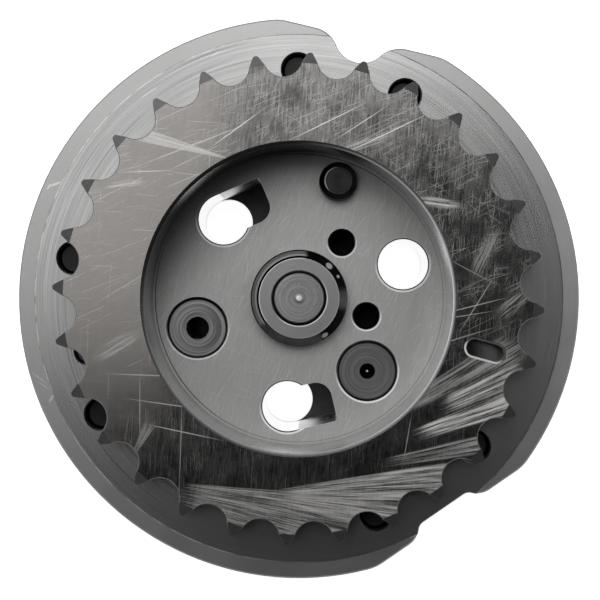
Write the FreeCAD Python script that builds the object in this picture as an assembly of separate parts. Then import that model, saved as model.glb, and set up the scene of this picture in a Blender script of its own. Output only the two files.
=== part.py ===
import FreeCAD, Part
import math
import os

# Vane-type cam phaser with a sprocket, in millimetres. Z is the camshaft axis and
# points out of the sprocket's face. The origin is on that axis, level with the faces
# of the bolt heads. Angles are in degrees, counter-clockwise from X seen from above.

# Layers, from the bolt heads up to the sprocket's face
bolt_head_height = 5.0
far_cover_thickness = 5.0
housing_height = 13.2
plate_thickness = 7.6
sprocket_stand = 10.2

# Running clearances
side_gap = 0.03
radial_gap = 0.05
fit_gap = 0.03
seal_gap = 0.03

# Swing of the rotor from its drawn position to each stop
swing_back = 19.7
swing_forward = 3.3
stop_gap = 0.1
idle_gap = 2.5

# Sprocket for a 9.525 mm pitch roller chain
tooth_count = 28
chain_pitch = 9.525
roller_diameter = 6.35
seat_radius = 3.5
seat_half_angle = 70.0
tip_radius = 43.7
tip_half_width = 0.62
tip_round = 0.45
tooth_width = 5.3
tooth_bevel_radius = 41.6
tooth_bevel_height = 1.2
tooth_edge_break = 0.15
first_gap_angle = 3.67
sprocket_bore_radius = 27.4
sprocket_bore_chamfer = 0.6
sprocket_hub_radius = 37.0
spigot_margin = 1.0

# Blind timing slot in the sprocket's face
timing_slot_circle = 34.2
timing_slot_angle = 344.5
timing_slot_length = 6.8
timing_slot_width = 3.0
timing_slot_depth = 1.7
timing_slot_tilt = 6.0

# Rim shared by the cover plate, vane housing and far cover
outer_radius = 51.3
rim_chamfer = 0.3
dull_band_width = 2.95
turned_step = 0.4
turned_edge_break = 0.15

# Rim notches: centre angle, depth of the chord and of the floor below the rim, half
# floor width, radius at the floor and radius at the shoulder
notches = [(76.5, 2.35, 6.9, 0.0, 5.0, 5.3), (304.5, 2.65, 4.68, 4.5, 1.8, 4.0)]
notch_corner_radius = 8.0

# Webs between the chambers: centre angle, and half the angle between its two bolts
webs = [(76.34, 13.9), (190.06, 20.21), (304.74, 15.12)]
web_margin = 6.5
vane_reach = 14.0
chamber_wall = 5.3

# Housing bolts
bolt_circle_inset = 9.44
bolt_radius = 3.0
bolt_clearance = 0.3
bolt_flange_radius = 6.0
bolt_flange_height = 1.2
bolt_hex_flats = 8.0
bolt_crown_inset = 0.2
bolt_end_inset = 2.2
bolt_end_chamfer = 0.6
tapped_hole_chamfer = 0.2

# Locating pin between the cover plate and the vane housing
locating_pin_radius = 2.5
locating_pin_wall = 0.92
locating_pin_angle = 194.0
locating_pin_length = 14.6
locating_pin_inset = 1.0
locating_pin_chamfer = 0.4

# Rotor, with the seat for the camshaft's end a little proud of its running face
camshaft_seat_height = 0.05
camshaft_seat_margin = 0.5
far_hub_wall = 3.4
far_hub_inset = 0.6
far_hub_chamfer = 0.4
boss_radius = 9.0
boss_height = 5.0
boss_chamfer = 1.6
passage_radius = 1.3
passage_offset = 2.6
low_passage_z = 13.0
high_passage_z = 19.0

# Camshaft bolt holes, two of them with a deep side pocket
cam_bolt_circle = 20.43
cam_bolt_angles = [18.0, 133.9, 263.7]
cam_bolt_hole_radius = 4.7
cam_bolt_hole_chamfer = 0.2
pocket_angles = [113.1, 282.9]
pocket_width = 7.9
pocket_end = 1.85
pocket_floor_z = 3.2
pocket_inner_round = 3.0
pocket_outer_round = 0.6

# Oil feed holes: circle radius and angle
feed_holes = [(13.04, 52.4), (13.0, 344.8)]
feed_radius = 2.44
feed_chamfer = 0.25
feed_floor_z = 10.5

# Dowel pin for the camshaft, with a thinner shank below the rotor's face
dowel_radius = 3.5
dowel_shank_radius = 3.2
dowel_mouth_gap = 0.1
dowel_circle = 22.9
dowel_angle = 71.5
dowel_depth = 8.0
dowel_stand = 4.5
dowel_chamfer_width = 1.0
dowel_chamfer_height = 0.8

# Spool valve in the centre bore, with its plug, spring and retaining ring
spool_bore_radius = 4.7
spool_bore_chamfer = 0.5
centre_plug_thickness = 3.5
centre_plug_inset = 0.17
centre_plug_chamfer = 0.35
centre_drill_radius = 0.9
centre_drill_depth = 1.2
spool_low_z = 3.0
spool_length = 17.5
spool_groove_radius = 3.9
spool_groove_width = 3.0
spool_grooves_z = [7.5, 14.5]
spool_cup_radius = 2.9
spool_cup_floor_z = 15.0
spool_nose_radius = 2.4
spool_nose_length = 2.0
spool_edge_break = 0.2
ring_thickness = 0.9
ring_inner_radius = 3.3
ring_groove_depth = 0.65
ring_opening = 50.0

# Plugs pressed into the rotor's face over the two small valves
plug_radius = 5.6
plug_bore_chamfer = 0.28
plug_edge_chamfer = 0.15
valve_bore_radius = 4.2
valve_bore_floor_z = 4.0
valve_drilling_radius = 1.0
valve_drilling_z = 5.2

# Pilot valve under the vented plug
pilot_circle = 19.9
pilot_angle = 196.5
pilot_plug_thickness = 4.0
pilot_plug_inset = 0.1
pilot_vent_radius = 2.16
piston_low_z = 4.2
piston_nose_length = 2.4
piston_nose_radius = 2.6
piston_length = 8.0
piston_floor = 2.0
piston_wall = 0.77

# Check valve under the plug with the dimple
check_circle = 18.74
check_angle = 312.8
check_plug_thickness = 4.5
check_plug_inset = 0.5
check_plug_dimple = 1.52
check_inlet_radius = 3.4
check_seat_z = 6.4
check_seat_height = 2.6
check_seat_bore_radius = 2.2
check_seat_chamfer = 0.4
check_ball_radius = 3.2
check_ball_gap = 0.04

# Lock pin in the widest vane, with its cap, and its seat in the cover plate
lock_angle = 29.5
lock_bore_radius = 4.0
lock_nose_radius = 3.17
lock_shoulder_z = 19.2
lock_shoulder_gap = 0.3
lock_pin_low_z = 14.0
lock_hollow_radius = 2.4
lock_hollow_depth = 6.0
lock_nose_chamfer = 0.3
lock_rest_gap = 0.08
lock_cap_thickness = 1.2
lock_cap_inset = 0.1
lock_vent_radius = 0.8
lock_seat_radius = 5.0
lock_seat_play = 0.13
lock_seat_depth = 4.5
release_groove_width = 1.6
release_groove_depth = 0.8
release_groove_end = 53.5

# Tip seals of the vanes and webs, and the leaf springs behind them
vane_seal_shift = [0.0, 0.0, -8.0]
seal_width = 2.6
seal_height = 3.4
seal_side_gap = 0.02
seal_end_gap = 0.05
seal_spring_room = 0.9
leaf_thickness = 0.2
leaf_width = 2.0
leaf_end_inset = 1.5
leaf_gap = 0.02

# Coil springs: mean radius, wire radius and number of turns
spool_spring_size = (2.4, 0.3, 6)
pilot_spring_size = (2.9, 0.35, 6)
check_spring_size = (2.0, 0.3, 3)
lock_spring_size = (1.9, 0.25, 6)
spring_end_gap = 0.02

# Heights that follow
z_cover = bolt_head_height
z_chamber = z_cover + far_cover_thickness
z_plate = z_chamber + housing_height
z_plate_face = z_plate + plate_thickness
z_sprocket = z_plate_face + sprocket_stand
z_tooth_back = z_sprocket - tooth_width
z_vane_low = z_chamber + side_gap
z_vane_high = z_plate - side_gap
z_floor = z_vane_high + camshaft_seat_height
z_boss = z_floor + boss_height
z_centre_plug = z_boss - centre_plug_inset - centre_plug_thickness
z_pilot_plug = z_floor - pilot_plug_inset - pilot_plug_thickness
z_check_plug = z_floor - check_plug_inset - check_plug_thickness
z_lock_cap = z_vane_low + lock_cap_inset
z_lock_spring = z_lock_cap + lock_cap_thickness

# Radii that follow
turned_radius = outer_radius - dull_band_width
chamber_radius = outer_radius - chamber_wall
bolt_circle_radius = outer_radius - bolt_circle_inset
hub_bore_radius = chamber_radius - vane_reach
spigot_radius = hub_bore_radius + spigot_margin
far_hub_radius = pilot_circle + valve_bore_radius + far_hub_wall
lock_circle = (hub_bore_radius + chamber_radius) / 2
pitch_radius = chain_pitch / (2 * math.sin(math.pi / tooth_count))
root_radius = pitch_radius - roller_diameter / 2
hub_radius = hub_bore_radius - radial_gap
vane_radius = chamber_radius - radial_gap
camshaft_seat_radius = sprocket_bore_radius - camshaft_seat_margin
vane_slot_root = chamber_radius - seal_gap - seal_height - seal_spring_room
web_slot_root = hub_radius + seal_gap + seal_height + seal_spring_room
locating_pin_circle = web_slot_root + locating_pin_wall + locating_pin_radius

TOP = FreeCAD.Vector(0, 0, 1)
AXIS = FreeCAD.Vector(0, 0, 0)
TURN = 360.0
LIP = 0.05


def polar(radius, degrees, z=0.0):
    angle = math.radians(degrees)
    return FreeCAD.Vector(radius * math.cos(angle), radius * math.sin(angle), z)


def cylinder(radius, z_low, z_high, centre=AXIS):
    base = FreeCAD.Vector(centre.x, centre.y, z_low)
    return Part.makeCylinder(radius, z_high - z_low, base, TOP)


def cone(radius_low, radius_high, z_low, z_high, centre=AXIS):
    base = FreeCAD.Vector(centre.x, centre.y, z_low)
    return Part.makeCone(radius_low, radius_high, z_high - z_low, base, TOP)


def ring(inner, outer, z_low, z_high, centre=AXIS):
    return cylinder(outer, z_low, z_high, centre).cut(cylinder(inner, z_low, z_high, centre))


def block(x_low, x_high, width, z_low, z_high):
    base = FreeCAD.Vector(x_low, -width / 2, z_low)
    return Part.makeBox(x_high - x_low, width, z_high - z_low, base)


def line(start, end):
    return Part.LineSegment(start, end).toShape()


def arc(start, middle, end):
    return Part.Arc(start, middle, end).toShape()


def prism(edges, z_low, z_high):
    face = Part.Face(Part.Wire(edges))
    face.translate(FreeCAD.Vector(0, 0, z_low))
    return face.extrude(FreeCAD.Vector(0, 0, z_high - z_low))


def sector(inner, outer, start, end, z_low, z_high):
    middle = (start + end) / 2
    edges = [arc(polar(inner, start), polar(inner, middle), polar(inner, end)),
             line(polar(inner, end), polar(outer, end)),
             arc(polar(outer, end), polar(outer, middle), polar(outer, start)),
             line(polar(outer, start), polar(inner, start))]
    return prism(edges, z_low, z_high)


def turned(shape, degrees):
    copy = shape.copy()
    copy.rotate(AXIS, TOP, degrees)
    return copy


def fused(shapes):
    return shapes[0].fuse(shapes[1:]).removeSplitter()


def chamfered_top(radius, z_low, z_high, width, height, centre=AXIS):
    # Round bar whose upper edge is chamfered
    return fused([cylinder(radius, z_low, z_high - height, centre),
                  cone(radius, radius - width, z_high - height, z_high, centre)])


def countersink(radius, chamfer, z_face, centre=AXIS):
    # Cutter for the chamfer at a hole's mouth, reaching a little above the face
    return cone(radius, radius + chamfer + LIP, z_face - chamfer, z_face + LIP, centre)


def bolt_centres():
    centres = []
    for middle, half_spread in webs:
        for angle in (middle - half_spread, middle + half_spread):
            centres.append(polar(bolt_circle_radius, angle))
    return centres


def chambers():
    # Start and end angle of each chamber, from the first web round to the last
    spans = []
    for index, (middle, half_spread) in enumerate(webs):
        next_middle, next_spread = webs[(index + 1) % len(webs)]
        start = middle + half_spread + web_margin
        end = next_middle - next_spread - web_margin
        if end < start:
            end += TURN
        spans.append((start, end))
    return spans


def vanes():
    # The first vane meets the stop behind it and the second one the stop ahead
    gaps = [(stop_gap, idle_gap), (idle_gap, stop_gap), (idle_gap, idle_gap)]
    spans = []
    for (start, end), (gap_behind, gap_ahead) in zip(chambers(), gaps):
        spans.append((start + swing_back + gap_behind, end - swing_forward - gap_ahead))
    return spans


def vane_seal_angles():
    angles = []
    for (start, end), shift in zip(vanes(), vane_seal_shift):
        angles.append((start + end) / 2 + shift)
    return angles


def notch_points(chord_depth, floor_depth, half_floor, floor_round, shoulder_round):
    # Half of a notch drawn about the X axis, from its floor out to the rim's circle
    chord = outer_radius - chord_depth
    floor = outer_radius - floor_depth
    rise = (chord - shoulder_round) - (floor + floor_round)
    reach = floor_round + shoulder_round
    shoulder = half_floor + math.sqrt(reach ** 2 - rise ** 2)
    tilt = math.asin(rise / reach)
    bend = (math.pi / 2 + tilt) / 2
    corner = chord - notch_corner_radius
    side = math.sqrt((outer_radius - notch_corner_radius) ** 2 - corner ** 2)
    scale = outer_radius / (outer_radius - notch_corner_radius)
    turn = math.atan2(side, corner) / 2
    return [(floor, half_floor),
            (floor + floor_round * (1 - math.cos(bend)),
             half_floor + floor_round * math.sin(bend)),
            (floor + floor_round * (1 + math.sin(tilt)),
             half_floor + floor_round * math.cos(tilt)),
            (chord - shoulder_round * (1 - math.cos(bend)),
             shoulder - shoulder_round * math.sin(bend)),
            (chord, shoulder),
            (chord, side),
            (corner + notch_corner_radius * math.cos(turn),
             side + notch_corner_radius * math.sin(turn)),
            (corner * scale, side * scale)]


def rim_outline():
    # Outer circle with both notches, as one closed and mostly tangent outline
    edges = []
    rim_ends = []
    for angle, *sizes in notches:
        points = notch_points(*sizes)
        for side in (-1, 1):
            placed = [turned(Part.Vertex(x, side * y, 0), angle).Point for x, y in points]
            edges.append(arc(placed[0], placed[1], placed[2]))
            edges.append(arc(placed[2], placed[3], placed[4]))
            edges.append(line(placed[4], placed[5]))
            edges.append(arc(placed[5], placed[6], placed[7]))
        half_floor = sizes[2]
        if half_floor > 0:
            x = points[0][0]
            ends = [turned(Part.Vertex(x, y, 0), angle).Point for y in (-half_floor, half_floor)]
            edges.append(line(*ends))
        half_turn = math.degrees(math.atan2(points[7][1], points[7][0]))
        rim_ends.append((angle - half_turn, angle + half_turn))
    for index, (before, after) in enumerate(rim_ends):
        following = rim_ends[(index + 1) % len(rim_ends)][0]
        if following < after:
            following += TURN
        middle = (after + following) / 2
        edges.append(arc(polar(outer_radius, after), polar(outer_radius, middle),
                         polar(outer_radius, following)))
    return Part.__sortEdges__(edges)


def rim_disc(z_low, z_high, low_chamfer, high_chamfer):
    # Notched disc with both of its outer edges chamfered
    disc = prism(rim_outline(), z_low, z_high)
    for z, size in ((z_low, low_chamfer), (z_high, high_chamfer)):
        rim = [edge for edge in disc.Edges
               if abs(edge.BoundBox.ZMin - z) < 1e-6 and abs(edge.BoundBox.ZMax - z) < 1e-6]
        disc = disc.makeChamfer(size, rim)
    return disc


def tooth_outline():
    # Roller seats, short straight flanks and rounded tooth tips
    seat_circle = root_radius + seat_radius
    bend = math.radians(seat_half_angle)
    side_x = seat_circle - seat_radius * math.cos(bend)
    side_y = seat_radius * math.sin(bend)
    side_radius = math.hypot(side_x, side_y)
    side_angle = math.degrees(math.atan2(side_y, side_x))
    half_step = TURN / tooth_count / 2
    tip_low = tip_radius - tip_round
    tip_angle = half_step - math.degrees(math.atan2(tip_half_width, tip_low))
    edges = []
    for index in range(tooth_count):
        gap = first_gap_angle + index * 2 * half_step
        seat_start = polar(side_radius, gap - side_angle)
        seat_end = polar(side_radius, gap + side_angle)
        tip_start = polar(tip_low, gap + tip_angle)
        tip_end = polar(tip_low, gap + 2 * half_step - tip_angle)
        next_seat = polar(side_radius, gap + 2 * half_step - side_angle)
        edges.append(arc(seat_start, polar(root_radius, gap), seat_end))
        edges.append(line(seat_end, tip_start))
        edges.append(arc(tip_start, polar(tip_radius, gap + half_step), tip_end))
        edges.append(line(tip_end, next_seat))
    return edges


def tooth_envelope():
    # Disc with a bevel on both of its sides, which the tooth tips are trimmed to
    reach = tip_radius + 1
    drop = tooth_bevel_height * (reach - tooth_bevel_radius) / (tip_radius - tooth_bevel_radius)
    return fused([cone(tooth_bevel_radius, reach, z_tooth_back, z_tooth_back + drop),
                  cylinder(reach, z_tooth_back + drop, z_sprocket - drop),
                  cone(reach, tooth_bevel_radius, z_sprocket - drop, z_sprocket)])


def seat_edge_breaks():
    # Small chamfers along the roller seats at the sprocket's face
    seat_circle = root_radius + seat_radius
    step = TURN / tooth_count
    return [countersink(seat_radius, tooth_edge_break, z_sprocket,
                        polar(seat_circle, first_gap_angle + index * step))
            for index in range(tooth_count)]


def timing_slot():
    # Oblong slot along a radius whose floor falls away towards the teeth
    radius = timing_slot_width / 2
    half = timing_slot_length / 2 - radius
    low = z_sprocket - 2 * timing_slot_depth
    high = z_sprocket + 1
    slot = fused([block(-half, half, timing_slot_width, low, high),
                  cylinder(radius, low, high, FreeCAD.Vector(-half, 0, 0)),
                  cylinder(radius, low, high, FreeCAD.Vector(half, 0, 0))])
    floor = z_sprocket - timing_slot_depth
    above = block(-timing_slot_length, timing_slot_length, timing_slot_length, floor, high + 2)
    above.rotate(FreeCAD.Vector(0, 0, floor), FreeCAD.Vector(0, 1, 0), timing_slot_tilt)
    slot = slot.common(above)
    slot.translate(FreeCAD.Vector(timing_slot_circle, 0, 0))
    return turned(slot, timing_slot_angle)


def make_sprocket():
    teeth = prism(tooth_outline(), z_tooth_back, z_sprocket).common(tooth_envelope())
    teeth = teeth.cut(seat_edge_breaks())
    body = fused([teeth,
                  cylinder(sprocket_hub_radius, z_plate_face, z_tooth_back),
                  cylinder(spigot_radius, z_plate, z_plate_face)])
    return body.cut([cylinder(sprocket_bore_radius, z_plate, z_sprocket),
                     countersink(sprocket_bore_radius, sprocket_bore_chamfer, z_sprocket),
                     timing_slot()])


def lock_seat_centre():
    return polar(lock_circle, lock_angle + swing_forward)


def release_groove():
    # Oil groove in the plate's underside, from the lock pin's seat to the chamber
    half = release_groove_width / 2
    return sector(lock_circle - half, lock_circle + half, lock_angle + swing_forward,
                  release_groove_end, z_plate, z_plate + release_groove_depth)


def make_cover_plate():
    band = rim_disc(z_plate, z_plate_face - turned_step, rim_chamfer, rim_chamfer)
    face = rim_disc(z_plate, z_plate_face, rim_chamfer, turned_edge_break)
    face = face.common(chamfered_top(turned_radius, z_plate, z_plate_face,
                                     turned_edge_break, turned_edge_break))
    cuts = [cylinder(spigot_radius, z_plate, z_plate_face)]
    for centre in bolt_centres():
        cuts.append(cylinder(bolt_radius, z_plate, z_plate_face, centre))
        cuts.append(countersink(bolt_radius, tapped_hole_chamfer, z_plate_face, centre))
    pin_centre = polar(locating_pin_circle, locating_pin_angle)
    cuts.append(cylinder(locating_pin_radius, z_plate, z_plate_face, pin_centre))
    cuts.append(countersink(locating_pin_radius, tapped_hole_chamfer, z_plate_face, pin_centre))
    cuts.append(cylinder(lock_seat_radius, z_plate, z_plate + lock_seat_depth,
                         lock_seat_centre()))
    cuts.append(release_groove())
    return fused([band, face]).cut(cuts)


def make_vane_housing():
    cuts = [cylinder(hub_bore_radius, z_chamber, z_plate)]
    for start, end in chambers():
        cuts.append(sector(hub_bore_radius - 1, chamber_radius, start, end, z_chamber, z_plate))
    for centre in bolt_centres():
        cuts.append(cylinder(bolt_radius + bolt_clearance, z_chamber, z_plate, centre))
    for angle, half_spread in webs:
        slot = block(hub_bore_radius - 1, web_slot_root, seal_width + 2 * seal_side_gap,
                     z_chamber, z_plate)
        cuts.append(turned(slot, angle))
    pin_low = z_plate_face - locating_pin_inset - locating_pin_length
    cuts.append(cylinder(locating_pin_radius, pin_low, z_plate,
                         polar(locating_pin_circle, locating_pin_angle)))
    return rim_disc(z_chamber, z_plate, rim_chamfer, rim_chamfer).cut(cuts)


def make_far_cover():
    cuts = [cylinder(far_hub_radius + radial_gap, z_cover, z_chamber)]
    for centre in bolt_centres():
        cuts.append(cylinder(bolt_radius + bolt_clearance, z_cover, z_chamber, centre))
    return rim_disc(z_cover, z_chamber, rim_chamfer, rim_chamfer).cut(cuts)


def housing_bolt(centre):
    # Flanged hexagon bolt with its head down
    flange_low = z_cover - bolt_flange_height
    end = z_plate_face - bolt_end_inset
    corner = bolt_hex_flats / math.sqrt(3)
    points = [polar(corner, TURN / 6 * side) for side in range(7)]
    head = prism([line(a, b) for a, b in zip(points[:-1], points[1:])], 0, flange_low)
    crown_radius = bolt_hex_flats / 2 - bolt_crown_inset
    head = head.common(cone(crown_radius, crown_radius + 2 * flange_low, 0, flange_low))
    head.translate(centre)
    return fused([head,
                  cylinder(bolt_flange_radius, flange_low, z_cover, centre),
                  chamfered_top(bolt_radius, z_cover, end, bolt_end_chamfer,
                                bolt_end_chamfer, centre)])


def make_housing_bolts():
    return Part.makeCompound([housing_bolt(centre) for centre in bolt_centres()])


def make_locating_pin():
    high = z_plate_face - locating_pin_inset
    return chamfered_top(locating_pin_radius, high - locating_pin_length, high,
                         locating_pin_chamfer, locating_pin_chamfer,
                         polar(locating_pin_circle, locating_pin_angle))


def make_lock_pin_seat():
    body = ring(lock_nose_radius + lock_seat_play, lock_seat_radius, z_plate,
                z_plate + lock_seat_depth, lock_seat_centre())
    return body.cut(release_groove())


def side_pocket(angle, bolt_angle, side):
    # Pocket beside a camshaft bolt hole, drawn with its short axis along X. Side is 1
    # where it lies clockwise of the hole and -1 where it lies counter-clockwise.
    hole = polar(cam_bolt_circle, bolt_angle - angle)
    outer = hole.x + cam_bolt_hole_radius
    inner = outer - pocket_width
    bend = 1 - math.sqrt(0.5)
    large = pocket_inner_round
    small = pocket_outer_round

    def at(x, back):
        return FreeCAD.Vector(x, -side * (pocket_end - back), 0)

    edges = [line(FreeCAD.Vector(outer, hole.y, 0), at(outer, small)),
             arc(at(outer, small), at(outer - small * bend, small * bend),
                 at(outer - small, 0)),
             line(at(outer - small, 0), at(inner + large, 0)),
             arc(at(inner + large, 0), at(inner + large * bend, large * bend),
                 at(inner, large)),
             line(at(inner, large), FreeCAD.Vector(inner, hole.y, 0)),
             line(FreeCAD.Vector(inner, hole.y, 0), FreeCAD.Vector(outer, hole.y, 0))]
    return turned(prism(edges, pocket_floor_z, z_floor), angle)


def drilling(radius, angle, z, reach):
    # Radial drilling that starts inside the centre bore
    return Part.makeCylinder(radius, reach, FreeCAD.Vector(0, 0, z), polar(1, angle))


def rotor_body():
    parts = [cylinder(hub_radius, z_vane_low, z_vane_high)]
    for start, end in vanes():
        parts.append(sector(hub_radius - 1, vane_radius, start, end, z_vane_low, z_vane_high))
    parts.append(cylinder(camshaft_seat_radius, z_vane_high, z_floor))
    parts.append(chamfered_top(boss_radius, z_floor, z_boss, boss_chamfer, boss_chamfer))
    chamfer_top = far_hub_inset + far_hub_chamfer
    parts.append(cone(far_hub_radius - far_hub_chamfer, far_hub_radius, far_hub_inset,
                      chamfer_top))
    parts.append(cylinder(far_hub_radius, chamfer_top, z_vane_low))
    return fused(parts)


def cam_side_cuts():
    cuts = []
    for angle in cam_bolt_angles:
        centre = polar(cam_bolt_circle, angle)
        cuts.append(cylinder(cam_bolt_hole_radius, far_hub_inset, z_floor, centre))
        cuts.append(countersink(cam_bolt_hole_radius, cam_bolt_hole_chamfer, z_floor, centre))
    cuts.append(side_pocket(pocket_angles[0], cam_bolt_angles[1], 1))
    cuts.append(side_pocket(pocket_angles[1], cam_bolt_angles[2], -1))
    for radius, angle in feed_holes:
        centre = polar(radius, angle)
        cuts.append(cylinder(feed_radius, feed_floor_z, z_floor, centre))
        cuts.append(countersink(feed_radius, feed_chamfer, z_floor, centre))
    dowel = polar(dowel_circle, dowel_angle)
    mouth_chamfer = dowel_radius - dowel_shank_radius + dowel_mouth_gap
    cuts.append(cylinder(dowel_shank_radius, z_floor - dowel_depth, z_floor, dowel))
    cuts.append(countersink(dowel_shank_radius, mouth_chamfer, z_floor, dowel))
    return cuts


def valve_cuts():
    ring_low = spool_low_z - fit_gap - ring_thickness - 2 * fit_gap
    ring_high = spool_low_z - fit_gap
    cuts = [cylinder(spool_bore_radius, far_hub_inset, z_boss),
            countersink(spool_bore_radius, spool_bore_chamfer, z_boss),
            cylinder(spool_bore_radius + ring_groove_depth, ring_low, ring_high)]
    for start, end in vanes():
        cuts.append(drilling(passage_radius, start - passage_offset, high_passage_z,
                             hub_radius + 1))
        cuts.append(drilling(passage_radius, end + passage_offset, low_passage_z,
                             hub_radius + 1))
    pilot = polar(pilot_circle, pilot_angle)
    cuts.append(cylinder(plug_radius, z_pilot_plug, z_floor, pilot))
    cuts.append(countersink(plug_radius, plug_bore_chamfer, z_floor, pilot))
    cuts.append(cylinder(valve_bore_radius, valve_bore_floor_z, z_pilot_plug, pilot))
    cuts.append(drilling(valve_drilling_radius, pilot_angle, valve_drilling_z, pilot_circle))
    check = polar(check_circle, check_angle)
    cuts.append(cylinder(plug_radius, z_check_plug, z_floor, check))
    cuts.append(countersink(plug_radius, plug_bore_chamfer, z_floor, check))
    cuts.append(cylinder(valve_bore_radius, check_seat_z, z_check_plug, check))
    cuts.append(cylinder(check_inlet_radius, valve_bore_floor_z, check_seat_z, check))
    cuts.append(drilling(valve_drilling_radius, check_angle, valve_drilling_z, check_circle))
    return cuts


def lock_and_seal_cuts():
    centre = polar(lock_circle, lock_angle)
    cuts = [cylinder(lock_bore_radius, z_vane_low, lock_shoulder_z, centre),
            cylinder(lock_nose_radius + fit_gap, lock_shoulder_z, z_vane_high, centre)]
    for angle in vane_seal_angles():
        slot = block(vane_slot_root, chamber_radius + 1, seal_width + 2 * seal_side_gap,
                     z_vane_low, z_vane_high)
        cuts.append(turned(slot, angle))
    return cuts


def make_rotor():
    return rotor_body().cut(cam_side_cuts() + valve_cuts() + lock_and_seal_cuts())


def make_dowel_pin():
    centre = polar(dowel_circle, dowel_angle)
    head = chamfered_top(dowel_radius, z_floor, z_floor + dowel_stand, dowel_chamfer_width,
                         dowel_chamfer_height, centre)
    return fused([head, cylinder(dowel_shank_radius, z_floor - dowel_depth, z_floor, centre)])


def make_centre_plug():
    high = z_centre_plug + centre_plug_thickness
    body = chamfered_top(spool_bore_radius, z_centre_plug, high,
                         centre_plug_chamfer, centre_plug_chamfer)
    return body.cut(cone(0, centre_drill_radius, high - centre_drill_depth, high))


def make_spool():
    high = spool_low_z + spool_length
    radius = spool_bore_radius - fit_gap
    body = fused([cylinder(spool_nose_radius, spool_low_z - spool_nose_length, spool_low_z),
                  cone(radius - spool_edge_break, radius, spool_low_z,
                       spool_low_z + spool_edge_break),
                  chamfered_top(radius, spool_low_z + spool_edge_break, high,
                                spool_edge_break, spool_edge_break)])
    cuts = [cylinder(spool_cup_radius, spool_cup_floor_z, high)]
    for z in spool_grooves_z:
        cuts.append(ring(spool_groove_radius, spool_bore_radius, z, z + spool_groove_width))
    return body.cut(cuts)


def make_spool_ring():
    high = spool_low_z - 2 * fit_gap
    outer = spool_bore_radius + ring_groove_depth - radial_gap
    return sector(ring_inner_radius, outer, ring_opening / 2, TURN - ring_opening / 2,
                  high - ring_thickness, high)


def make_pilot_plug():
    centre = polar(pilot_circle, pilot_angle)
    high = z_pilot_plug + pilot_plug_thickness
    body = chamfered_top(plug_radius, z_pilot_plug, high, plug_edge_chamfer,
                         plug_edge_chamfer, centre)
    return body.cut(cylinder(pilot_vent_radius, z_pilot_plug, high, centre))


def piston_cup_floor():
    return piston_low_z + piston_nose_length + piston_floor


def make_pilot_piston():
    centre = polar(pilot_circle, pilot_angle)
    radius = valve_bore_radius - fit_gap
    high = piston_low_z + piston_length
    body = fused([cylinder(piston_nose_radius, piston_low_z,
                           piston_low_z + piston_nose_length, centre),
                  cylinder(radius, piston_low_z + piston_nose_length, high, centre)])
    return body.cut(cylinder(radius - piston_wall, piston_cup_floor(), high, centre))


def make_check_valve_plug():
    centre = polar(check_circle, check_angle)
    high = z_check_plug + check_plug_thickness
    body = chamfered_top(plug_radius, z_check_plug, high, plug_edge_chamfer,
                         plug_edge_chamfer, centre)
    return body.cut(cone(0, check_plug_dimple, high - check_plug_dimple, high, centre))


def make_check_valve_seat():
    centre = polar(check_circle, check_angle)
    high = check_seat_z + check_seat_height
    body = ring(check_seat_bore_radius, valve_bore_radius, check_seat_z, high, centre)
    return body.cut(countersink(check_seat_bore_radius, check_seat_chamfer, high, centre))


def ball_centre_z():
    # The ball rests in the seat's 45 degree chamfer
    mouth = check_seat_z + check_seat_height - check_seat_chamfer
    return mouth + (check_ball_radius + check_ball_gap) * math.sqrt(2) - check_seat_bore_radius


def make_check_valve_ball():
    centre = polar(check_circle, check_angle, ball_centre_z())
    return Part.makeSphere(check_ball_radius, centre)


def make_lock_pin():
    centre = polar(lock_circle, lock_angle)
    body = fused([cylinder(lock_bore_radius - fit_gap, lock_pin_low_z,
                           lock_shoulder_z - lock_shoulder_gap, centre),
                  chamfered_top(lock_nose_radius, lock_shoulder_z - lock_shoulder_gap,
                                z_plate - lock_rest_gap, lock_nose_chamfer,
                                lock_nose_chamfer, centre)])
    return body.cut(cylinder(lock_hollow_radius, lock_pin_low_z,
                             lock_pin_low_z + lock_hollow_depth, centre))


def make_lock_pin_cap():
    centre = polar(lock_circle, lock_angle)
    return ring(lock_vent_radius, lock_bore_radius, z_lock_cap, z_lock_spring, centre)


def make_spring(size, z_low, z_high, centre=AXIS):
    # One swept coil that just fits between two faces
    mean_radius, wire_radius, turns = size
    low = z_low + wire_radius + spring_end_gap
    height = z_high - wire_radius - spring_end_gap - low
    path = Part.Wire(Part.makeHelix(height / turns, height, mean_radius))
    start = FreeCAD.Vector(mean_radius, 0, 0)
    section = Part.Wire(Part.makeCircle(wire_radius, start, FreeCAD.Vector(0, 1, 0)))
    coil = path.makePipeShell([section], True, True)
    coil.translate(FreeCAD.Vector(centre.x, centre.y, low))
    return coil


def make_check_valve_spring():
    # The lowest turn lies on the ball's shoulder
    mean_radius, wire_radius, turns = check_spring_size
    reach = check_ball_radius + wire_radius + spring_end_gap
    rise = math.sqrt(reach ** 2 - mean_radius ** 2)
    return make_spring(check_spring_size, ball_centre_z() + rise - wire_radius, z_check_plug,
                       polar(check_circle, check_angle))


def make_vane_seal(angle):
    start = vane_slot_root + seal_spring_room
    body = block(start, chamber_radius, seal_width, z_vane_low + seal_end_gap,
                 z_vane_high - seal_end_gap)
    return turned(body.common(cylinder(chamber_radius - seal_gap, z_vane_low, z_vane_high)),
                  angle)


def make_web_seal(angle):
    end = web_slot_root - seal_spring_room
    body = block(hub_radius - 1, end, seal_width, z_vane_low + seal_end_gap,
                 z_vane_high - seal_end_gap)
    return turned(body.cut(cylinder(hub_radius + seal_gap, z_vane_low, z_vane_high)), angle)


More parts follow.
